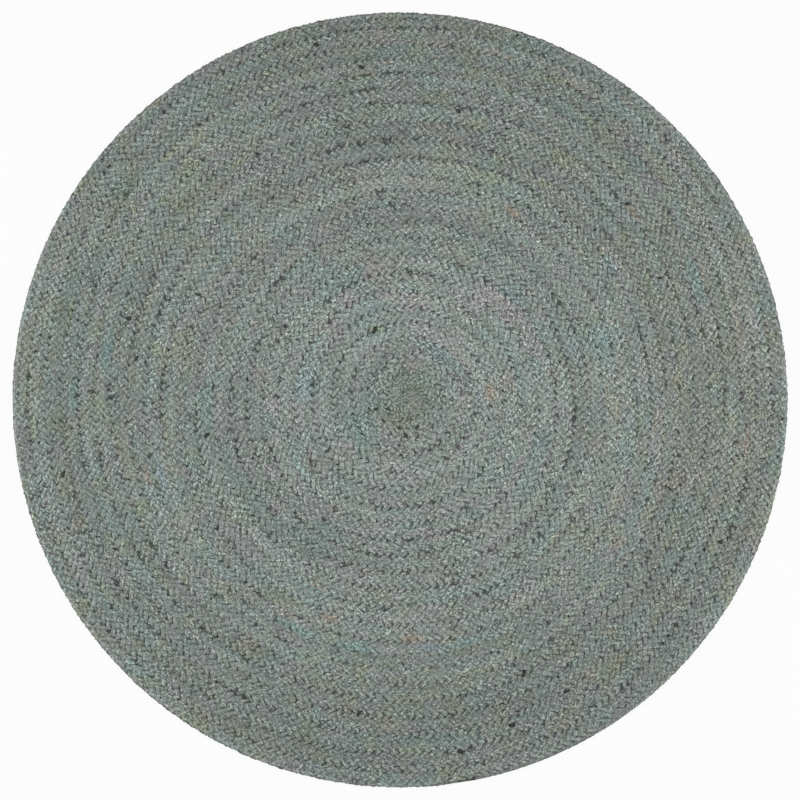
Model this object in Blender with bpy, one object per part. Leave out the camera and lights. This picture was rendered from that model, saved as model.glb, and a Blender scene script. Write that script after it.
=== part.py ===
"""A round braided rug, in metres, lying on z = 0 with its centre at the origin.

One flat plait starts in the middle and is coiled clockwise, round after round, each sewn to the one inside it.
Its end narrows and is tucked into the rim, so that the rug's outline stays a circle.
"""

import math

import bmesh
import bpy

# The rug
RUG_RADIUS = 0.600
ROUNDS = 23  # from the middle to the rim
PLAIT_HEIGHT = 0.0100  # top of the flat plait
SEAM_HEIGHT = 0.0070  # bottom of the dip where two rounds are sewn together
SHOULDER = 0.24  # share of the plait's width between a seam and its flat top

# The coil's start and end
EYE_RADIUS = 0.004  # the pinched middle
EYE_HEIGHT = 0.0085
START_ROOM = 0.125  # the start is this share of a plait wide
END_WIDTH = 0.006
FULL_FROM = 0.6  # the plait is at its full height where it has this share of its full width
END_ANGLE = math.radians(281.25)
TAPER = 0.14  # share of the last turn over which the plait narrows
GATHER_FROM = 11  # from this round on, each steps out more and more where the last one ends

# The rim's profile below the plait's flat top: how far in from the outline, and how high
RIM = (
    {"inset": 0.0014, "height": 0.0078},
    {"inset": 0.0000, "height": 0.0048},
    {"inset": 0.0024, "height": 0.0000},
)

# Hand coiling leaves the rounds a little off centre, by these amounts at these radii
DRIFT = (
    {"radius": 0.000, "x": 0.0145, "y": 0.0000},
    {"radius": 0.085, "x": 0.0145, "y": 0.0005},
    {"radius": 0.170, "x": 0.0035, "y": -0.0070},
    {"radius": 0.263, "x": 0.0105, "y": -0.0030},
    {"radius": 0.356, "x": 0.0070, "y": -0.0080},
    {"radius": 0.449, "x": 0.0015, "y": 0.0080},
    {"radius": 0.600, "x": 0.0000, "y": 0.0000},
)

# and they wave in and out
WAVES = (
    {"height": 0.0022, "lobes": 3, "turned": 0.6, "twist": 9.0},
    {"height": 0.0014, "lobes": 5, "turned": 2.1, "twist": -14.0},
)

STEPS = 64  # for each turn
JUTE_COLOUR = (0.205, 0.232, 0.213, 1.0)
JUTE_ROUGHNESS = 0.88

PITCH = (RUG_RADIUS - EYE_RADIUS) / ROUNDS
FIRST = round((START_ROOM - 1) * STEPS)
LAST = ROUNDS * STEPS


def eased(x):
    x = min(max(x, 0.0), 1.0)
    return x * x * (3 - 2 * x)


def seam_radius(step):
    """The inner edge of the plait after this many steps; one turn later it is the outer edge."""
    turn = max(step, 0) / STEPS
    if turn > ROUNDS:
        return RUG_RADIUS - RIM[0]["inset"]
    whole = min(int(turn), ROUNDS - 1)
    part = turn - whole
    gathered = eased((whole - GATHER_FROM) / (ROUNDS - 1 - GATHER_FROM))
    stepped = eased((part - 1 + TAPER) / TAPER)
    grown = whole + (1 - gathered) * part + gathered * stepped
    return min(EYE_RADIUS + PITCH * grown, RUG_RADIUS - END_WIDTH)


def drift(radius):
    """Where the centre of the rounds at this radius lies, on a smooth curve through the rows of DRIFT."""
    after = next(i for i, row in enumerate(DRIFT) if radius <= row["radius"] or row is DRIFT[-1])
    after = max(after, 1)
    low, high = DRIFT[after - 1], DRIFT[after]
    blend = eased((radius - low["radius"]) / (high["radius"] - low["radius"]))
    return [low[axis] + blend * (high[axis] - low[axis]) for axis in "xy"]


def wave(radius, angle):
    """How far the plait strays outwards, fading to nothing in the middle and at the rim."""
    fade = math.sin(math.pi * min(radius / RUG_RADIUS, 1.0))
    sway = sum(w["height"] * math.sin(w["lobes"] * angle + w["turned"] + w["twist"] * radius) for w in WAVES)
    return fade * sway


def place(radius, step, height):
    angle = END_ANGLE - 2 * math.pi * step / STEPS
    x, y = drift(radius)
    radius += wave(radius, angle)
    return x + radius * math.cos(angle), y + radius * math.sin(angle), height


def across(mesh, seams, rim, step):
    """The points across the plait at one step: seam, flat top, seam. The two ends have only their seams."""
    inner = seams[step]
    outer = seams.get(step + STEPS) or rim[step]
    if step in (FIRST, LAST):
        return [inner, outer]
    start = seam_radius(step)
    width = seam_radius(step + STEPS) - start
    height = SEAM_HEIGHT + (PLAIT_HEIGHT - SEAM_HEIGHT) * eased(width / PITCH / FULL_FROM)
    top = [mesh.verts.new(place(start + share * width, step, height)) for share in (SHOULDER, 1 - SHOULDER)]
    return [inner, *top, outer]


def cover(mesh, low, high):
    """The faces between the points across one step and those across the next."""
    if len(low) == len(high):
        for i in range(len(low) - 1):
            mesh.faces.new((low[i], high[i], high[i + 1], low[i + 1]))
    elif len(low) < len(high):
        mesh.faces.new((low[0], high[0], high[1]))
        mesh.faces.new((low[0], high[1], high[2], low[1]))
        mesh.faces.new((low[1], high[2], high[3]))
    else:
        mesh.faces.new((low[0], high[0], low[1]))
        mesh.faces.new((low[1], high[0], high[1], low[2]))
        mesh.faces.new((low[2], high[1], low[3]))


def add_plait(mesh, rim_top):
    """The whole coil's top, from the eye to the rim. Two rounds share the points of the seam between them."""
    seams = {step: mesh.verts.new(place(seam_radius(step), step, SEAM_HEIGHT)) for step in range(FIRST, LAST + 1)}
    columns = [across(mesh, seams, rim_top, step) for step in range(FIRST, LAST + 1)]
    for low, high in zip(columns, columns[1:]):
        cover(mesh, low, high)
    mesh.faces.new((seams[LAST], rim_top[LAST - STEPS + 1], rim_top[LAST]))
    return seams


def add_eye(mesh, seams):
    eye = mesh.verts.new((*drift(0.0), EYE_HEIGHT))
    closing = FIRST + STEPS
    for step in range(FIRST, closing - 1):
        mesh.faces.new((eye, seams[step + 1], seams[step]))
    mesh.faces.new((eye, seams[FIRST], seams[closing], seams[closing - 1]))


def add_rim(mesh):
    """The rim's rings from the top down, each a dictionary from step to point, and the flat underside."""
    rings = []
    for row in RIM:
        radius = RUG_RADIUS - row["inset"]
        steps = range(LAST - STEPS + 1, LAST + 1)
        rings.append({step: mesh.verts.new(place(radius, step, row["height"])) for step in steps})
    order = list(rings[0])
    for upper, lower in zip(rings, rings[1:]):
        for step, after in zip(order, order[1:] + order[:1]):
            mesh.faces.new((upper[step], upper[after], lower[after], lower[step]))
    mesh.faces.new([rings[-1][step] for step in order])
    return rings[0]


def jute():
    material = bpy.data.materials.new("dyed_jute")
    material.use_nodes = True
    shader = material.node_tree.nodes["Principled BSDF"]
    shader.inputs["Base Color"].default_value = JUTE_COLOUR
    shader.inputs["Roughness"].default_value = JUTE_ROUGHNESS
    shader.inputs["Metallic"].default_value = 0.0
    return material


def add_rug(collection):
    mesh = bmesh.new()
    rim_top = add_rim(mesh)
    seams = add_plait(mesh, rim_top)
    add_eye(mesh, seams)
    bmesh.ops.recalc_face_normals(mesh, faces=mesh.faces)
    data = bpy.data.meshes.new("rug")
    mesh.to_mesh(data)
    mesh.free()
    data.shade_smooth()
    data.set_sharp_from_angle(angle=math.radians(40))
    data.materials.append(jute())
    rug = bpy.data.objects.new("rug", data)
    collection.objects.link(rug)


def main():
    for old in list(bpy.data.objects):
        bpy.data.objects.remove(old)
    collection = bpy.data.collections.new("round braided rug")
    bpy.context.scene.collection.children.link(collection)
    add_rug(collection)


main()
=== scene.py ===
import math

import bpy
import numpy as np
from mathutils.bvhtree import BVHTree
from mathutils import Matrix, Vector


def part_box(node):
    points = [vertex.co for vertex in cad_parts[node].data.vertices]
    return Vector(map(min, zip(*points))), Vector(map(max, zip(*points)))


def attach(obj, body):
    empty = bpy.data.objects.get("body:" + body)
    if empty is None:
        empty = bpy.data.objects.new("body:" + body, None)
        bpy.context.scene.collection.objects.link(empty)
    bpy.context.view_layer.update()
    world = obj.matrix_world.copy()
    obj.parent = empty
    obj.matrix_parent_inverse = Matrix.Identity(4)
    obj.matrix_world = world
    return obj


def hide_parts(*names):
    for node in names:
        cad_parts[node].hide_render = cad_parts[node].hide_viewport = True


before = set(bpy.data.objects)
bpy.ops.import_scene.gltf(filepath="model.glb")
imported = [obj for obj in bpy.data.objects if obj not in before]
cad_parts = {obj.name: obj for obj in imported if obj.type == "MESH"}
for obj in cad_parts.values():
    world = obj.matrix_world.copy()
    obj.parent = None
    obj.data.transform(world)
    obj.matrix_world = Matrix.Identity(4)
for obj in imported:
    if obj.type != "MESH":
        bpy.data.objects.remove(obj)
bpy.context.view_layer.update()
rugLow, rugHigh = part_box("rug")
rugRadius = (rugHigh.x - rugLow.x) / 2
rugHeight = rugHigh.z - rugLow.z
print("frame loaded, rug", round(2 * rugRadius, 3), "m across")

# the coil: one plait, wound clockwise from the middle to the rim
coil = {
    "rounds": 23,
    "eyeRadius": 0.004,  # the pinched middle
    "startRoom": 0.125,  # the plait starts this share of its width wide
    "endAngle": math.radians(281.25),
    "endWidth": 0.006,
    "endRun": 1 / 64,  # of a turn, where the rim takes over from the tucked end
    "taper": 0.14,  # share of the last turn over which the plait narrows
    "gatherFrom": 11,
    "rimInset": 0.0014,
    "tableSteps": 40000,  # in the table of the plait's length
}

# how far the rounds lie off the rug's centre, by their radius
drift = {
    "radius": (0.000, 0.085, 0.170, 0.263, 0.356, 0.449, 0.600),
    "x": (0.0145, 0.0145, 0.0035, 0.0105, 0.0070, 0.0015, 0.0000),
    "y": (0.0000, 0.0005, -0.0070, -0.0030, -0.0080, 0.0080, 0.0000),
}

# how the rounds wave in and out
waves = (
    {"height": 0.0022, "lobes": 3, "turned": 0.6, "twist": 9.0},
    {"height": 0.0014, "lobes": 5, "turned": 2.1, "twist": -14.0},
)

# where each kind of unevenness starts its random numbers; strands and lots count on from here
seeds = {
    "slack": 10,
    "teeth": 11,
    "stray": 20,
    "fatStroke": 40,
    "fatLength": 60,
    "rise": 80,
    "deepTips": 90,
    "lots": 100,
    "strokeLight": 200,
    "lotLight": 240,
    "seam": 250,
    "seamHighlight": 260,
    "lumps": 300,
    "hairPatch": 300,
    "hairStroke": 310,
    "chips": 500,
    "chipShape": 510,
}

pitch = (rugRadius - coil["eyeRadius"]) / coil["rounds"]


def eased(x):
    x = np.clip(x, 0.0, 1.0)
    return x * x * (3 - 2 * x)


def smoothThrough(x, rows, values):
    # a smooth curve through the values at the rows, which rise
    rows, values = np.array(rows), np.array(values)
    row = np.clip(np.searchsorted(rows, x, side="right") - 1, 0, len(rows) - 2)
    blend = eased((x - rows[row]) / (rows[row + 1] - rows[row]))
    return values[row] + blend * (values[row + 1] - values[row])


def waveAt(radius, angle):
    sway = sum(w["height"] * np.sin(w["lobes"] * angle + w["turned"] + w["twist"] * radius) for w in waves)
    return np.sin(np.pi * np.clip(radius / rugRadius, 0, 1)) * sway


def seamRadius(turn):
    # the plait's inner edge; its outer edge is the same a turn later
    whole = np.clip(np.floor(turn), 0, coil["rounds"] - 1)
    part = np.maximum(turn, 0) - whole
    gathered = eased((whole - coil["gatherFrom"]) / (coil["rounds"] - 1 - coil["gatherFrom"]))
    stepped = eased((part - 1 + coil["taper"]) / coil["taper"])
    grown = whole + (1 - gathered) * part + gathered * stepped
    radius = np.minimum(coil["eyeRadius"] + pitch * grown, rugRadius - coil["endWidth"])
    past = eased((turn - coil["rounds"]) / coil["endRun"])
    return radius + past * (coil["endWidth"] - coil["rimInset"])


def coilPoint(turn, across):
    # across runs from 0 at the plait's inner seam to 1 at its outer one
    inner = seamRadius(turn)
    radius = inner + across * (seamRadius(turn + 1) - inner)
    angle = coil["endAngle"] - 2 * np.pi * turn
    offX = smoothThrough(radius, drift["radius"], drift["x"])
    offY = smoothThrough(radius, drift["radius"], drift["y"])
    radius = radius + waveAt(radius, angle)
    return offX + radius * np.cos(angle), offY + radius * np.sin(angle)


def lengthTable():
    # how much plait is laid by each turn
    turns = np.linspace(coil["startRoom"] - 1, coil["rounds"], coil["tableSteps"])
    middle = (seamRadius(turns) + seamRadius(turns + 1)) / 2
    steps = (middle[1:] + middle[:-1]) * np.pi * np.diff(turns)
    return turns, np.concatenate(([0.0], np.cumsum(steps)))


tableTurns, tableLengths = lengthTable()
print("plait", round(float(tableLengths[-1]), 2), "m long")


def wander(position, spacing, seed):
    # seeded smooth noise from -1 to 1, with a new value every spacing
    position = position / spacing + 2
    values = np.random.default_rng(seed).uniform(-1, 1, int(position.max()) + 3)
    cell = position.astype(int)
    return values[cell] + eased(position - cell) * (values[cell + 1] - values[cell])


def laneNoise(along, lateral, run, seed):
    # smooth noise that runs on along the plait, with values of its own at each edge
    reach = 1.2  # how far out the edges' values lie, in halves of the plait's width
    blend = eased(np.clip(lateral, -reach, reach) / (2 * reach) + 0.5)
    return wander(along, run, seed) * (1 - blend) + wander(along, run, seed + 1) * blend


# the plait's strands
plait = {
    "strands": 5,
    "sharpTurns": 0.99,  # 0 for soft turns at the edges, 1 for pointed ones
    "reach": 1.02,  # of half the plait's width, where the strand turns back
    "strandWidth": 0.0086,
    "strandHeight": 0.0049,
    "middle": 0.0051,  # height of the plait's middle
    "weaveDepth": 0.0019,
    "slack": 0.05,  # of a tooth, how far strands slip along the plait
    "stray": 0.09,  # of half the plait's width, how far they slip across it
    "thinnest": 0.25,  # share of its full size, at the plait's two ends
    "rimRound": 3.4,  # how bluntly strands turn back along the rim
    "eyeRun": 0.1,  # of a turn, over which they close the pinched middle
    "ringsAZigzag": 24,
    "sides": (0, 55, 125, 180, 270),  # degrees around the strand, from its right edge over the top
    "sideEdge": (1.0, 0.57, 0.57, 1.0, 0.0),  # how near each is to the strand's edge
    "sideShade": (1.0, 1.0, 1.0, 1.0, 0.9),  # how light each is
    "lumps": 0.24,  # share by which each point strays from the round section
    "stroke": 0.25,  # of a zigzag, from one uneven place of a strand to the next
    "fatStroke": 0.10,  # share by which a strand is wider or narrower, from stroke to stroke
    "fatLength": 0.06,  # and from one length of it to the next
    "fatRun": 0.15,
    "rise": 0.0004,  # how far strands lie higher or lower
    "depthMiddle": 0.7,  # share of the weave's depth in the plait's middle
    "depthEdge": 0.3,  # and what comes on top at its edges
    "deepTips": 0.0014,  # how far some strands sink where they turn back
    "floorGap": 0.0003,  # no strand lies lower
    "tip": 0.012,  # length of its pointed ends
    "tipSize": 0.2,  # share of its section that is left there
    "skin": (0, 0.25, 0.5, 0.75, 0.875, 1),  # where the sides come on the strand's flat pattern
    "skinMargin": 0.04,  # of a row, left free on both sides
    "rows": 41,  # that the pattern is cut into
    "endDisc": 0.3,  # of a row, the size of the two ends' discs
}

# the plait's teeth: where strand after strand turns back at its edge
teeth = {
    "spacing": 0.01236,
    "hold": 0.25,  # how firmly a tooth settles between two of the round inside it
    "finest": 0.6,  # share of the spacing, in the middle
    "fineWithin": 0.050,
    "uneven": 0.5,  # of the spacing, plaited tighter and looser
    "unevenEvery": 0.37,
    "stepsATurn": 720,
}


def fineness(turn):
    # share of its full size that the weave has here
    return teeth["finest"] + (1 - teeth["finest"]) * eased(seamRadius(turn) / teeth["fineWithin"])


def toothTable():
    # how many teeth each edge has by each turn, nudged so that neighbouring rounds mesh
    steps = teeth["stepsATurn"]
    turns = np.arange(round((coil["startRoom"] - 1) * steps), coil["rounds"] * steps + 1) / steps
    lengths = np.interp(turns, tableTurns, tableLengths)
    laid = np.cumsum(np.diff(lengths, prepend=0) / teeth["spacing"] / fineness(turns))
    loose = laid + teeth["uneven"] * wander(lengths, teeth["unevenEvery"], seeds["teeth"])
    counts = loose.copy()
    for start in range(steps, len(turns), steps):
        end = min(start + steps, len(turns))
        apart = loose[start:end] - counts[start - steps:end - steps] + 0.5
        counts[start:end] -= teeth["hold"] * np.sin(2 * np.pi * apart) / (2 * np.pi)
    return turns, np.maximum.accumulate(counts)


toothTurns, toothCounts = toothTable()
print("teeth", round(float(toothCounts[-1])))


def tubeFaces(rings, sides):
    # quads of a closed tube, ring after ring
    ring = np.arange(rings - 1)[:, None] * sides
    side = np.arange(sides)[None, :]
    after = (side + 1) % sides
    return np.stack([ring + side, ring + after, ring + sides + after, ring + sides + side], -1).reshape(-1, 4)


def meshFrom(name, points, quads, others):
    # others are faces with another number of corners, as lists
    mesh = bpy.data.meshes.new(name)
    corners = np.concatenate([quads.ravel(), *[np.array(face) for face in others]]).astype(np.int32)
    counts = np.concatenate([np.full(len(quads), 4), [len(face) for face in others]]).astype(np.int32)
    mesh.vertices.add(len(points))
    mesh.vertices.foreach_set("co", points.astype(np.float32).ravel())
    mesh.loops.add(len(corners))
    mesh.loops.foreach_set("vertex_index", corners)
    mesh.polygons.add(len(counts))
    mesh.polygons.foreach_set("loop_start", np.concatenate([[0], np.cumsum(counts)[:-1]]).astype(np.int32))
    mesh.update(calc_edges=True)
    mesh.shade_smooth()
    piece = bpy.data.objects.new(name, mesh)
    bpy.context.scene.collection.objects.link(piece)
    return piece


def addColour(piece, name, colours):
    layer = piece.data.attributes.new(name, "FLOAT_COLOR", "POINT")
    full = np.concatenate([colours, np.ones((len(colours), 1))], 1)
    layer.data.foreach_set("color", full.astype(np.float32).ravel())


def addVector(piece, name, vectors):
    layer = piece.data.attributes.new(name, "FLOAT_VECTOR", "POINT")
    layer.data.foreach_set("vector", vectors.astype(np.float32).ravel())


def addNumber(piece, name, numbers):
    layer = piece.data.attributes.new(name, "FLOAT", "POINT")
    layer.data.foreach_set("value", numbers.astype(np.float32))


def addPlainYarn(piece, points):
    # what strands have of their own, for the core and the chips
    addVector(piece, "fibre", points)
    addVector(piece, "lay", points)
    addNumber(piece, "hairiness", np.ones(len(points)))
    addNumber(piece, "side", np.zeros(len(points)))


def placed(piece, material):
    piece.data.materials.append(material)
    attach(piece, "root")
    return piece


# the dyed yarn, as scene linear colours
dye = {
    "grey": (0.169, 0.192, 0.177),
    "teal": (0.125, 0.205, 0.190),
    "blue": (0.150, 0.190, 0.222),
    "olive": (0.172, 0.198, 0.110),
    "rust": (0.230, 0.170, 0.120),
    "pink": (0.205, 0.185, 0.190),
    "bark": (0.011, 0.014, 0.009),
}

# lots of yarn: how long a length of a colour runs, how rare it is from 0 to 1, and how strong
# in the middle and at the rim
lots = (
    {"dye": "teal", "run": 0.040, "rare": 0.00, "most": (0.41, 0.40)},
    {"dye": "olive", "run": 0.026, "rare": 0.05, "most": (0.14, 0.42)},
    {"dye": "blue", "run": 0.030, "rare": 0.10, "most": (0.21, 0.10)},
    {"dye": "pink", "run": 0.030, "rare": 0.05, "most": (0.46, 0.26)},
    {"dye": "rust", "run": 0.026, "rare": 0.40, "most": (0.04, 0.20)},
)

# lengths that stand out: where they are, how long and how wide, in metres
standOuts = (
    {"dye": "rust", "x": 0.500, "y": 0.020, "length": 0.550, "width": 0.160, "most": 0.10},
    {"dye": "rust", "x": 0.524, "y": 0.115, "length": 0.110, "width": 0.010, "most": 0.35},
    {"dye": "rust", "x": 0.175, "y": 0.291, "length": 0.036, "width": 0.010, "most": 0.9},
    {"dye": "rust", "x": -0.109, "y": -0.338, "length": 0.026, "width": 0.008, "most": 0.9},
    {"dye": "rust", "x": 0.016, "y": -0.370, "length": 0.036, "width": 0.008, "most": 0.9},
    {"dye": "rust", "x": -0.391, "y": -0.118, "length": 0.036, "width": 0.008, "most": 0.8},
    {"dye": "rust", "x": 0.361, "y": 0.291, "length": 0.039, "width": 0.008, "most": 0.8},
    {"dye": "rust", "x": 0.140, "y": 0.012, "length": 0.030, "width": 0.014, "most": 0.8},
    {"dye": "rust", "x": 0.538, "y": -0.060, "length": 0.042, "width": 0.008, "most": 0.7},
    {"dye": "olive", "x": -0.251, "y": 0.367, "length": 0.028, "width": 0.010, "most": 0.9},
    {"dye": "olive", "x": -0.507, "y": 0.144, "length": 0.046, "width": 0.008, "most": 0.9},
    {"dye": "olive", "x": 0.223, "y": 0.333, "length": 0.020, "width": 0.008, "most": 0.9},
    {"dye": "olive", "x": -0.037, "y": 0.110, "length": 0.022, "width": 0.012, "most": 0.9},
    {"dye": "olive", "x": 0.485, "y": -0.225, "length": 0.028, "width": 0.010, "most": 0.9},
    {"dye": "olive", "x": 0.012, "y": -0.008, "length": 0.070, "width": 0.080, "most": 0.4},
    {"dye": "teal", "x": -0.060, "y": -0.046, "length": 0.064, "width": 0.050, "most": 0.7},
    {"dye": "teal", "x": -0.071, "y": -0.383, "length": 0.068, "width": 0.012, "most": 1.0},
    {"dye": "teal", "x": -0.160, "y": -0.355, "length": 0.082, "width": 0.012, "most": 1.0},
    {"dye": "teal", "x": 0.104, "y": -0.375, "length": 0.098, "width": 0.012, "most": 0.9},
    {"dye": "teal", "x": -0.453, "y": 0.079, "length": 0.068, "width": 0.016, "most": 1.0},
    {"dye": "teal", "x": -0.300, "y": -0.012, "length": 0.090, "width": 0.022, "most": 0.9},
    {"dye": "teal", "x": 0.460, "y": 0.180, "length": 0.073, "width": 0.018, "most": 0.9},
    {"dye": "teal", "x": 0.310, "y": 0.088, "length": 0.060, "width": 0.045, "most": 0.8},
    {"dye": "teal", "x": -0.490, "y": 0.000, "length": 0.500, "width": 0.140, "most": 0.12},
    {"dye": "teal", "x": -0.504, "y": 0.005, "length": 0.057, "width": 0.014, "most": 0.9},
    {"dye": "blue", "x": 0.329, "y": 0.205, "length": 0.020, "width": 0.010, "most": 1.0},
    {"dye": "blue", "x": 0.047, "y": -0.383, "length": 0.036, "width": 0.010, "most": 1.0},
    {"dye": "blue", "x": -0.370, "y": -0.113, "length": 0.034, "width": 0.012, "most": 1.0},
)

# how light the yarn is, by how far out it lies
tone = {
    "radius": (0.00, 0.035, 0.058, 0.081, 0.105, 0.150, 0.186, 0.220, 0.279, 0.337, 0.407, 0.442, 0.600),
    "light": (1.00, 0.95, 1.00, 1.08, 1.13, 1.05, 1.10, 1.05, 0.98, 1.03, 0.97, 0.92, 0.92),
}

# how the lots and the streaks of light lie in the plait
streak = {
    "lotLight": 0.10,
    "lotRun": 0.30,
    "strokeLight": 0.08,
    "full": 0.8,  # the noise at which a lot has its full strength
    "lotSeeds": 20,  # from one lot's random numbers to the next's
    "rimFrom": 0.3,  # share of the radius from which a lot changes to its strength at the rim
    "rimOver": 0.4,  # and over which it does
    "standOut": 0.7,  # how much of its dye a length that stands out gets
    "fade": 1.5,  # where that ends, in halves of its length and width
}

# the seams between the rounds, in their colour: painted shade on the outer round's side, with a painted
# highlight on the edge inside it; places and widths are in halves of the plait's width
seam = {
    "dark": 0.13,
    "darkAt": -0.88,
    "lightening": 0.06,
    "lightAt": 0.62,
    "width": 0.22,
    "edgeShadeReach": 0.16,  # how much further the strands' painted edge shade reaches there
    "usual": 0.9,
    "sway": 0.7,  # how much stronger or weaker it is in places
    "run": 0.10,  # length of those stretches
}

# the jute's own unevenness, and painted edge shade: how many lumps there are in a metre along and across,
# and how light they are; grain, threads and the edge shade follow each strand, fibres and lanes the plait
yarn = {
    "grain": {"along": 380.0, "across": 380.0, "detail": 0.0, "light": (0.54, 1.46), "bump": 0.0003},
    "threads": {"along": 150.0, "across": 430.0, "detail": 0.0, "light": (0.85, 1.15), "bump": 0.0002},
    "fibres": {"along": 170.0, "across": 400.0, "detail": 0.0, "light": (0.72, 1.28)},
    "lanes": {"along": 9.0, "across": 140.0, "detail": 2.0, "light": (0.86, 1.14)},
    "edgeShade": {"along": 90.0, "across": 60.0, "detail": 0.0, "sway": 0.9,
              "dark": 0.24, "from": 0.77, "to": 0.91},
    "noise": (0.25, 0.75),  # the values that most of the noise lies between
    # how strongly the grain, threads and fibres show
    "hair": {"usual": 0.9, "patch": 0.28, "patchRun": 0.035, "stroke": 0.20, "strokeRun": 0.012},
    "roughness": 0.72,
    "specular": 0.5,
}


def node(tree, kind, **values):
    made = tree.nodes.new("ShaderNode" + kind)
    for name, value in values.items():
        setattr(made, name, value)
    return made


def lightFrom(tree, value, low, high, strength=None):
    # turns noise into a factor between low and high, or further off 1 where the strength is more than 1
    spread = node(tree, "MapRange", clamp=False)
    spread.inputs["From Min"].default_value = yarn["noise"][0]
    spread.inputs["From Max"].default_value = yarn["noise"][1]
    spread.inputs["To Min"].default_value = low
    spread.inputs["To Max"].default_value = high
    tree.links.new(value, spread.inputs["Value"])
    if not strength:
        return spread.outputs["Result"]
    power = node(tree, "Math", operation="POWER")
    tree.links.new(spread.outputs["Result"], power.inputs[0])
    tree.links.new(strength, power.inputs[1])
    return power.outputs["Value"]


def paintedEdgeShade(tree, uneven):
    # painted shade: thin dark lines along the strands' edges where they meet, stronger and weaker along each
    # strand
    edgeShade = yarn["edgeShade"]
    side = node(tree, "Attribute", attribute_name="side")
    sway = node(tree, "Math", operation="MULTIPLY_ADD")
    sway.inputs[1].default_value = edgeShade["sway"]
    sway.inputs[2].default_value = -edgeShade["sway"] / 2
    reach = node(tree, "Math", operation="ADD")
    shade = node(tree, "MapRange")
    shade.inputs["From Min"].default_value = edgeShade["from"]
    shade.inputs["From Max"].default_value = edgeShade["to"]
    shade.inputs["To Min"].default_value = 1.0
    shade.inputs["To Max"].default_value = edgeShade["dark"]
    tree.links.new(uneven, sway.inputs[0])
    tree.links.new(side.outputs["Fac"], reach.inputs[0])
    tree.links.new(sway.outputs["Value"], reach.inputs[1])
    tree.links.new(reach.outputs["Value"], shade.inputs["Value"])
    return shade.outputs["Result"]


def times(tree, colour, factor):
    mix = node(tree, "Mix", data_type="RGBA", blend_type="MULTIPLY")
    mix.inputs["Factor"].default_value = 1.0
    tree.links.new(colour, mix.inputs["A"])
    tree.links.new(factor, mix.inputs["B"])
    return mix.outputs["Result"]


def noiseAt(tree, place, lumps):
    scaled = node(tree, "VectorMath", operation="MULTIPLY")
    scaled.inputs[1].default_value = (lumps["along"], lumps["across"], 1.0)
    tree.links.new(place, scaled.inputs[0])
    noise = node(tree, "TexNoise", noise_dimensions="2D")
    noise.inputs["Scale"].default_value = 1.0
    noise.inputs["Detail"].default_value = lumps["detail"]
    tree.links.new(scaled.outputs["Vector"], noise.inputs["Vector"])
    return noise.outputs["Fac"]


def addBump(tree, height, distance, below=None):
    bump = node(tree, "Bump")
    bump.inputs["Strength"].default_value = 1.0
    bump.inputs["Distance"].default_value = distance
    tree.links.new(height, bump.inputs["Height"])
    if below:
        tree.links.new(below, bump.inputs["Normal"])
    return bump.outputs["Normal"]


def juteMaterial():
    material = bpy.data.materials.new("dyedJute")
    material.use_nodes = True
    tree = material.node_tree
    shader = tree.nodes["Principled BSDF"]
    tint = node(tree, "Attribute", attribute_name="tint")
    fibre = node(tree, "Attribute", attribute_name="fibre")
    lay = node(tree, "Attribute", attribute_name="lay")
    hair = node(tree, "Attribute", attribute_name="hairiness").outputs["Fac"]
    grain = noiseAt(tree, fibre.outputs["Vector"], yarn["grain"])
    threads = noiseAt(tree, fibre.outputs["Vector"], yarn["threads"])
    fibres = noiseAt(tree, lay.outputs["Vector"], yarn["fibres"])
    lanes = noiseAt(tree, lay.outputs["Vector"], yarn["lanes"])
    uneven = noiseAt(tree, fibre.outputs["Vector"], yarn["edgeShade"])
    colour = times(tree, tint.outputs["Color"], lightFrom(tree, grain, *yarn["grain"]["light"], hair))
    colour = times(tree, colour, lightFrom(tree, threads, *yarn["threads"]["light"], hair))
    colour = times(tree, colour, lightFrom(tree, fibres, *yarn["fibres"]["light"], hair))
    colour = times(tree, colour, lightFrom(tree, lanes, *yarn["lanes"]["light"]))
    # painted shade along the strands' edges
    colour = times(tree, colour, paintedEdgeShade(tree, uneven))
    tree.links.new(colour, shader.inputs["Base Color"])
    normal = addBump(tree, grain, yarn["grain"]["bump"])
    normal = addBump(tree, threads, yarn["threads"]["bump"], normal)
    tree.links.new(normal, shader.inputs["Normal"])
    shader.inputs["Roughness"].default_value = yarn["roughness"]
    shader.inputs["Specular IOR Level"].default_value = yarn["specular"]
    return material


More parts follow.
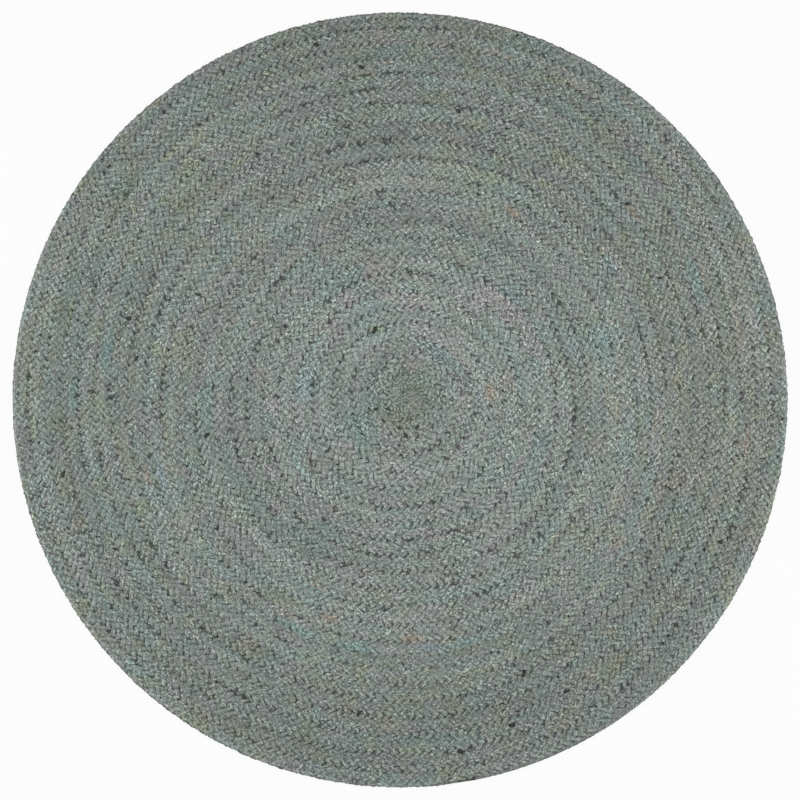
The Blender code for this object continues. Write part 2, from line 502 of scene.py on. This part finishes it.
def strandPath(number):
    # the strand's middle line, and what else changes along it
    rings, strands = plait["ringsAZigzag"], plait["strands"]
    first = math.ceil((toothCounts[0] + number) / strands * rings)
    last = math.floor((toothCounts[-1] + number) / strands * rings)
    phase = np.arange(first, last + 1) / rings
    uneven = plait["slack"] * wander(phase, plait["stroke"], seeds["slack"] + number)
    turn = np.interp(phase * strands - number + uneven, toothCounts, toothTurns)
    along = np.interp(turn, tableTurns, tableLengths)
    width = seamRadius(turn + 1) - seamRadius(turn)
    size = np.clip(width / pitch, plait["thinnest"], 1) * fineness(turn)
    sharp = plait["sharpTurns"]
    place = np.arcsin(sharp * np.cos(2 * np.pi * phase)) / math.asin(sharp)
    atRim = eased((turn + 1 - coil["rounds"]) / coil["endRun"])
    flat = 1 - np.abs(1 - np.maximum(place, 0)) ** plait["rimRound"]
    rimReach = 1 + 2 * (coil["rimInset"] - plait["strandWidth"] * size / 2) / width
    outward = (1 - atRim) * plait["reach"] * place + atRim * rimReach * flat
    atEye = eased(-turn / plait["eyeRun"])
    eyeReach = 1 + atEye * coil["eyeRadius"] / width
    inward = plait["reach"] * eyeReach * place
    lateral = np.where(place > 0, outward, inward)
    # strands slip less where they are thin, and not at all along the rim
    stray = plait["stray"] * wander(phase, plait["stroke"], seeds["stray"] + number)
    stray = stray * (1 - atRim) * np.minimum(size * 2 - 0.5, 1)
    x, y = coilPoint(turn, 0.5 + 0.5 * (lateral + stray))
    # crossings since the last outer edge; the strand goes over one, under the next
    past = phase - np.round(phase)
    crossed = 2 * strands * np.abs(past)
    nearEdge = np.minimum(crossed, strands - crossed)
    atEdge = np.where(crossed < 1, 1, -math.cos(math.pi * (strands - 1))) * np.sin(np.pi / 2 * nearEdge)
    weave = np.sign(past) * np.where(nearEdge < 1, atEdge, -np.cos(np.pi * crossed))
    return {"phase": phase, "turn": turn, "along": along, "size": size, "weave": weave, "x": x, "y": y,
            "lateral": lateral, "open": atRim * (place > 0)}


def strandPoints(number, path):
    # rings of points around the middle line, and where they are along and across the strand
    along, phase, size = path["along"], path["phase"], path["size"]
    swelling = plait["fatStroke"] * wander(phase, plait["stroke"], seeds["fatStroke"] + number)
    swelling = swelling + plait["fatLength"] * wander(along, plait["fatRun"], seeds["fatLength"] + number)
    fat = 1 + swelling * (1 - path["open"])
    ends = eased((along - along[0]) / plait["tip"]) * eased((along[-1] - along) / plait["tip"])
    whole = plait["tipSize"] + (1 - plait["tipSize"]) * ends
    wide = plait["strandWidth"] * size * fat * whole
    high = plait["strandHeight"] * size ** 0.5 * (2 - fat) * whole
    outOfMiddle = np.minimum(np.abs(path["lateral"]), 1)
    depth = plait["weaveDepth"] * (plait["depthMiddle"] + plait["depthEdge"] * outOfMiddle ** 2)
    z = plait["middle"] + depth * size ** 0.5 * path["weave"]
    z = z + plait["rise"] * wander(phase, plait["stroke"], seeds["rise"] + number)
    sunk = np.maximum(wander(phase + plait["stroke"], 2 * plait["stroke"], seeds["deepTips"] + number), 0)
    edge = np.abs(path["lateral"]) ** 3
    z = z - edge * plait["deepTips"] * sunk
    z = np.maximum(z, plait["floorGap"] + high / 2)
    centre = np.stack([path["x"], path["y"], z], 1)
    ahead = np.gradient(centre, axis=0)
    ahead /= np.linalg.norm(ahead, axis=1)[:, None]
    level = np.stack([-ahead[:, 1], ahead[:, 0], np.zeros(len(ahead))], 1)
    level /= np.linalg.norm(level, axis=1)[:, None]
    up = np.cross(ahead, level)
    angles = np.radians(plait["sides"])
    random = np.random.default_rng(seeds["lumps"] + number)
    lumps = 1 + plait["lumps"] * random.uniform(-1, 1, (len(wide), len(angles)))
    right = -0.5 * wide[:, None] * np.cos(angles) * lumps
    above = 0.5 * high[:, None] * np.sin(angles) * lumps
    points = centre[:, None] + right[..., None] * level[:, None] + above[..., None] * up[:, None]
    points[..., 2] = np.maximum(points[..., 2], plait["floorGap"])
    travelled = np.concatenate([[0.0], np.cumsum(np.linalg.norm(np.diff(centre, axis=0), axis=1))])
    fibre = np.stack([np.broadcast_to(travelled[:, None], right.shape), right, above], -1)
    angle = coil["endAngle"] - 2 * np.pi * path["turn"]
    onward = np.stack([np.sin(angle), -np.cos(angle), np.zeros(len(angle))], 1)
    outward = np.stack([np.cos(angle), np.sin(angle), np.zeros(len(angle))], 1)
    off = points - centre[:, None]
    lay = np.stack([along[:, None] + (off * onward[:, None]).sum(-1),
                    path["lateral"][:, None] * pitch / 2 + (off * outward[:, None]).sum(-1),
                    np.zeros(right.shape)], -1)
    # the strand's number moves its grain to another part of the noise
    return points, fibre + number, lay


def dyed(colour, name, share):
    return colour + (np.array(dye[name]) - colour) * share[:, None]


def hairiness(along, number):
    # how strongly the yarn is marked, in patches of the plait and from stroke to stroke
    hair = yarn["hair"]
    patches = hair["patch"] * wander(along, hair["patchRun"], seeds["hairPatch"])
    strokes = hair["stroke"] * wander(along, hair["strokeRun"], seeds["hairStroke"] + number)
    return hair["usual"] * np.exp(patches + strokes)


def standOut(points, row):
    # how far each point is inside a length that stands out, which follows the round that it lies in
    radius, angle = math.hypot(row["x"], row["y"]), math.atan2(row["y"], row["x"])
    turned = np.angle(np.exp(1j * (np.arctan2(points[:, 1], points[:, 0]) - angle)))
    onward = radius * turned / row["length"] * 2
    outward = (np.hypot(points[:, 0], points[:, 1]) - radius) / row["width"] * 2
    return eased(streak["fade"] - np.hypot(onward, outward))


def hill(place, width):
    return np.exp(-(place / width) ** 2)


def plaitPlace(lay):
    # how far along the plait each point lies, and how far across it in halves of its width
    return np.maximum(lay[:, 0], 0), lay[:, 1] / (pitch / 2)


def seamSway(along, seed):
    return seam["usual"] + seam["sway"] * wander(along, seam["run"], seed)


def seamDepth(lay, opened):
    # how far into the seam each point is, which sets its painted shade; there is none along the rim
    along, lateral = plaitPlace(lay)
    deep = seamSway(along, seeds["seam"]) * hill(lateral - seam["darkAt"], seam["width"])
    return deep * (1 - opened)


def strandColours(number, path, points, lay, depth):
    sides = points.shape[1]
    phase = np.repeat(path["phase"], sides)
    points, lay = points.reshape(-1, 3), lay.reshape(-1, 3)
    along, lateral = plaitPlace(lay)
    colour = np.tile(np.array(dye["grey"]), (len(along), 1))
    outwards = np.hypot(points[:, 0], points[:, 1]) / rugRadius
    outwards = eased((outwards - streak["rimFrom"]) / streak["rimOver"])
    for i, lot in enumerate(lots):
        noise = laneNoise(along, lateral, lot["run"], seeds["lots"] + streak["lotSeeds"] * i)
        share = eased((noise - lot["rare"]) / (streak["full"] - lot["rare"]))
        most = lot["most"][0] + outwards * (lot["most"][1] - lot["most"][0])
        colour = dyed(colour, lot["dye"], most * share)
    for row in standOuts:
        colour = dyed(colour, row["dye"], streak["standOut"] * row["most"] * standOut(points, row))
    light = smoothThrough(np.hypot(points[:, 0], points[:, 1]), tone["radius"], tone["light"])
    strokes = wander(phase, plait["stroke"], seeds["strokeLight"] + number)
    light = light * (1 + streak["strokeLight"] * strokes)
    light = light * (1 + streak["lotLight"] * wander(along, streak["lotRun"], seeds["lotLight"]))
    # painted shade in the seam, and a painted highlight on the edge inside it
    seamHighlight = hill(lateral - seam["lightAt"], seam["width"]) * seamSway(along, seeds["seamHighlight"])
    light = light * (1 - seam["dark"] * depth) * (1 + seam["lightening"] * seamHighlight)
    light = light * np.tile(plait["sideShade"], len(path["phase"]))
    return colour * light[:, None]


def addRows(piece, rings):
    # a UV map: the strand's skin laid flat and cut into rows, with its two ends in a row of their own
    runs, sides, rows = rings - 1, len(plait["sides"]), plait["rows"]
    perRow = math.ceil(runs / rows)
    run = np.repeat(np.arange(runs), sides)
    side = np.tile(np.arange(sides), runs)
    row = run // perRow
    left = (run - row * perRow) / perRow
    right = left + 1 / perRow
    skin = plait["skinMargin"] + (1 - 2 * plait["skinMargin"]) * np.array(plait["skin"])
    low = (row + skin[side]) / (rows + 1)
    high = (row + skin[side + 1]) / (rows + 1)
    quads = np.stack([left, low, left, high, right, high, right, low], -1).reshape(-1, 2)
    around = np.linspace(0, 2 * np.pi, sides, endpoint=False)
    disc = np.stack([np.cos(around), np.sin(around)], -1) * plait["endDisc"] / (rows + 1)
    ends = [disc + (0.25 + 0.5 * i, (rows + 0.5) / (rows + 1)) for i in (0, 1)]
    layer = piece.data.uv_layers.new(name="OFBake")
    layer.data.foreach_set("uv", np.concatenate([quads, *ends]).astype(np.float32).ravel())


def addStrand(number, material):
    path = strandPath(number)
    points, fibre, lay = strandPoints(number, path)
    rings, sides = points.shape[:2]
    depth = seamDepth(lay.reshape(-1, 3), np.repeat(path["open"], sides))
    ends = [list(range(sides))[::-1], list(range((rings - 1) * sides, rings * sides))]
    piece = meshFrom(f"strand{number + 1}", points.reshape(-1, 3), tubeFaces(rings, sides), ends)
    addColour(piece, "tint", strandColours(number, path, points, lay, depth))
    addVector(piece, "fibre", fibre.reshape(-1, 3))
    addVector(piece, "lay", lay.reshape(-1, 3))
    addNumber(piece, "hairiness", np.repeat(hairiness(path["along"], number), sides))
    side = np.tile(plait["sideEdge"], rings)
    # the painted edge shade reaches further in near the seams
    addNumber(piece, "side", side + seam["edgeShadeReach"] * depth)
    addRows(piece, rings)
    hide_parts("rug")
    return placed(piece, material)


jute = juteMaterial()
strands = [addStrand(number, jute) for number in range(plait["strands"])]
print("strands", sum(len(s.data.polygons) for s in strands), "faces")


# the packed fibres between the strands, in the coil's own form
core = {
    "stepsATurn": 64,
    "across": (0, 0.25, 0.5, 0.75),
    "top": (0.0056, 0.0064, 0.0066, 0.0064),
    "base": 0.0036,
    "eye": 0.0078,
    "inset": 0.0001,  # how far inside the rug's outline it ends
    # painted shade: the core is darker than the yarn, as the gaps between strands where it shows lie in shade
    "shade": 0.7,
}


def addCore(material):
    steps, shares = core["stepsATurn"], core["across"]
    first = round((coil["startRoom"] - 1) * steps)
    count = coil["rounds"] * steps - first
    turns = (first + np.arange(count + 1)) / steps
    x, y = coilPoint(turns[:, None], np.array(shares)[None, :])
    top = np.stack([x, y, np.broadcast_to(core["top"], x.shape)], -1).reshape(-1, 3)
    rimTurns = turns[-steps:]
    angle = coil["endAngle"] - 2 * np.pi * rimTurns
    rimRadius = rugRadius - core["inset"]
    rims = [np.stack([rimRadius * np.cos(angle), rimRadius * np.sin(angle), np.full(steps, z)], -1)
            for z in (core["top"][0], core["base"])]
    eye = [[drift["x"][0], drift["y"][0], core["eye"]]]
    points = np.concatenate([top, *rims, eye])
    rimAt, baseAt, eyeAt = len(top), len(top) + steps, len(top) + 2 * steps
    width = len(shares)
    quads, others = [], []

    def outer(step):
        # the next round's inner seam, or the rim in the last round
        if step + steps <= count:
            return (step + steps) * width
        return rimAt + step + steps - count - 1

    for step in range(count):
        here = [step * width + i for i in range(width)] + [outer(step)]
        there = [(step + 1) * width + i for i in range(width)] + [outer(step + 1)]
        quads += [[here[i + 1], there[i + 1], there[i], here[i]] for i in range(width)]
    for i in range(steps):
        after = (i + 1) % steps
        quads.append([rimAt + after, rimAt + i, baseAt + i, baseAt + after])
        others.append([eyeAt, i * width, (i + 1) * width])
    others.append([baseAt + i for i in range(steps)])
    piece = meshFrom("rugCore", points, np.array(quads), others)
    addColour(piece, "tint", np.tile(np.array(dye["grey"]) * core["shade"], (len(points), 1)))
    addPlainYarn(piece, points)
    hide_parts("rug")
    return placed(piece, material)


rugCore = addCore(jute)
print("core laid")

# dark chips of bark in the yarn: those that stand out, by their places, and the rest at random
bark = {
    "x": (0.401, 0.090, -0.312, 0.496, -0.060, -0.220, 0.191, 0.259, 0.352, 0.174, -0.130, -0.062, -0.299,
          -0.420, -0.039, -0.408, 0.095, -0.522, -0.038, -0.025, -0.002, 0.008, 0.026),
    "y": (0.189, 0.448, 0.163, -0.220, 0.515, 0.381, -0.423, -0.450, 0.304, -0.502, 0.550, -0.484, -0.054,
          0.126, 0.109, 0.064, -0.544, -0.116, -0.014, -0.033, -0.043, -0.056, -0.042),
    "size": (0.0044, 0.0062),  # half of a chip's length
    "others": 150,
    "otherSize": (0.0016, 0.0031),
    "outTo": 0.97,  # below 1, so that none lies right on the rim
    "spread": 0.40,  # 0.5 for as many everywhere, less for more of them further out
    "slim": 0.52,  # how wide they are for their length
    "corners": 8,
    "ragged": 0.45,
    "smallWithin": 0.10,  # they are smaller in the middle
    "smallest": 0.5,
    "rings": {"reach": (0.0, 0.6, 1.0, 0.0), "lift": (0.0013, 0.0012, 0.0007, -0.0006)},
    "shade": (0.6, 1.4),
    "castFrom": 1.0,  # height from which the rays that find the strands below are cast
}


def chipTable():
    # where the chips are, how big, and how they are turned
    random = np.random.default_rng(seeds["chips"])
    radius = rugRadius * random.uniform(0.0, bark["outTo"], bark["others"]) ** bark["spread"]
    angle = random.uniform(0, 2 * np.pi, bark["others"])
    x = np.concatenate([bark["x"], radius * np.cos(angle)])
    y = np.concatenate([bark["y"], radius * np.sin(angle)])
    size = np.concatenate([random.uniform(*bark["size"], len(bark["x"])),
                           random.uniform(*bark["otherSize"], bark["others"])])
    grown = eased(np.hypot(x, y) / bark["smallWithin"])
    size = size * (bark["smallest"] + (1 - bark["smallest"]) * grown)
    return zip(x, y, size, random.uniform(0, np.pi, len(x)))


def chipPoints(x, y, size, turned, random, surfaces):
    # rings around the chip's middle, laid on the strands below them
    corners = bark["corners"]
    around = np.linspace(0, 2 * np.pi, corners, endpoint=False)
    ragged = 1 + bark["ragged"] * random.uniform(-1, 1, corners)
    onward = size * ragged * np.cos(around)
    sideways = size * ragged * bark["slim"] * np.sin(around)
    offX = onward * math.cos(turned) - sideways * math.sin(turned)
    offY = onward * math.sin(turned) + sideways * math.cos(turned)
    points = []
    for reach, lift in zip(bark["rings"]["reach"], bark["rings"]["lift"]):
        for i in range(corners if reach else 1):
            place = (x + reach * offX[i], y + reach * offY[i])
            hits = [surface.ray_cast((*place, bark["castFrom"]), (0, 0, -1))[0] for surface in surfaces]
            points.append((*place, max(hit.z for hit in hits if hit) + lift))
    return points


def addBark(material, pieces):
    surfaces = [BVHTree.FromPolygons([v.co for v in piece.data.vertices],
                                     [p.vertices for p in piece.data.polygons]) for piece in pieces]
    random = np.random.default_rng(seeds["chipShape"])
    corners = bark["corners"]
    points, quads, others, shades = [], [], [], []
    for x, y, size, turned in chipTable():
        first = len(points)
        points += chipPoints(x, y, size, turned, random, surfaces)
        shades += [random.uniform(*bark["shade"])] * (len(points) - first)
        for i in range(corners):
            after = (i + 1) % corners
            middle, outer = first + 1, first + 1 + corners
            others.append([first, middle + i, middle + after])
            quads.append([middle + i, outer + i, outer + after, middle + after])
            others.append([len(points) - 1, outer + after, outer + i])
    points = np.array(points)
    piece = meshFrom("barkChips", points, np.array(quads), others)
    addColour(piece, "tint", np.array(dye["bark"]) * np.array(shades)[:, None])
    addPlainYarn(piece, points)
    return placed(piece, material)


barkChips = addBark(jute, [*strands, rugCore])
print("bark chips", len(barkChips.data.polygons), "faces")

# the studio
studio = {
    "lens": 85.0,
    "sensor": 36,  # like the lens, in mm
    "distance": 2.9255,
    "floorSize": 12.0,
    "tableShade": 0.04,
    "tableGlow": 0.92,  # the table gives off an even light
    "lamps": {"lampLeft": (-2.4, 0.3, 1.7), "lampRight": (2.4, -0.3, 1.7)},
    "lampSize": 1.6,
    "lampPower": 78.0,
    "skyLight": 0.45,
}


def addFloor():
    bpy.ops.mesh.primitive_plane_add(size=studio["floorSize"])
    floor = bpy.context.object
    floor.name = "floor"
    material = bpy.data.materials.new("paleFloor")
    material.use_nodes = True
    shader = material.node_tree.nodes["Principled BSDF"]
    shader.inputs["Base Color"].default_value = (*[studio["tableShade"]] * 3, 1)
    shader.inputs["Specular IOR Level"].default_value = 0.0
    shader.inputs["Emission Color"].default_value = (1, 1, 1, 1)
    shader.inputs["Emission Strength"].default_value = studio["tableGlow"]
    floor.data.materials.append(material)


def addLamp(name, place):
    light = bpy.data.lights.new(name, "AREA")
    light.size = studio["lampSize"]
    light.energy = studio["lampPower"]
    lamp = bpy.data.objects.new(name, light)
    bpy.context.scene.collection.objects.link(lamp)
    lamp.location = place
    lamp.rotation_euler = (-lamp.location).to_track_quat("-Z", "Y").to_euler()


def addSky():
    sky = bpy.data.worlds.new("studio")
    sky.use_nodes = True
    background = sky.node_tree.nodes["Background"]
    background.inputs["Color"].default_value = (1, 1, 1, 1)
    background.inputs["Strength"].default_value = studio["skyLight"]
    bpy.context.scene.world = sky


def addCamera():
    camera = bpy.data.cameras.new("camera")
    camera.lens = studio["lens"]
    camera.sensor_width = studio["sensor"]
    eye = bpy.data.objects.new("camera", camera)
    bpy.context.scene.collection.objects.link(eye)
    eye.location = (0, 0, studio["distance"] + rugHeight / 2)
    bpy.context.scene.camera = eye


addFloor()
for name, place in studio["lamps"].items():
    addLamp(name, place)
addSky()
addCamera()
bpy.context.scene.view_settings.view_transform = "Standard"
print("studio ready")
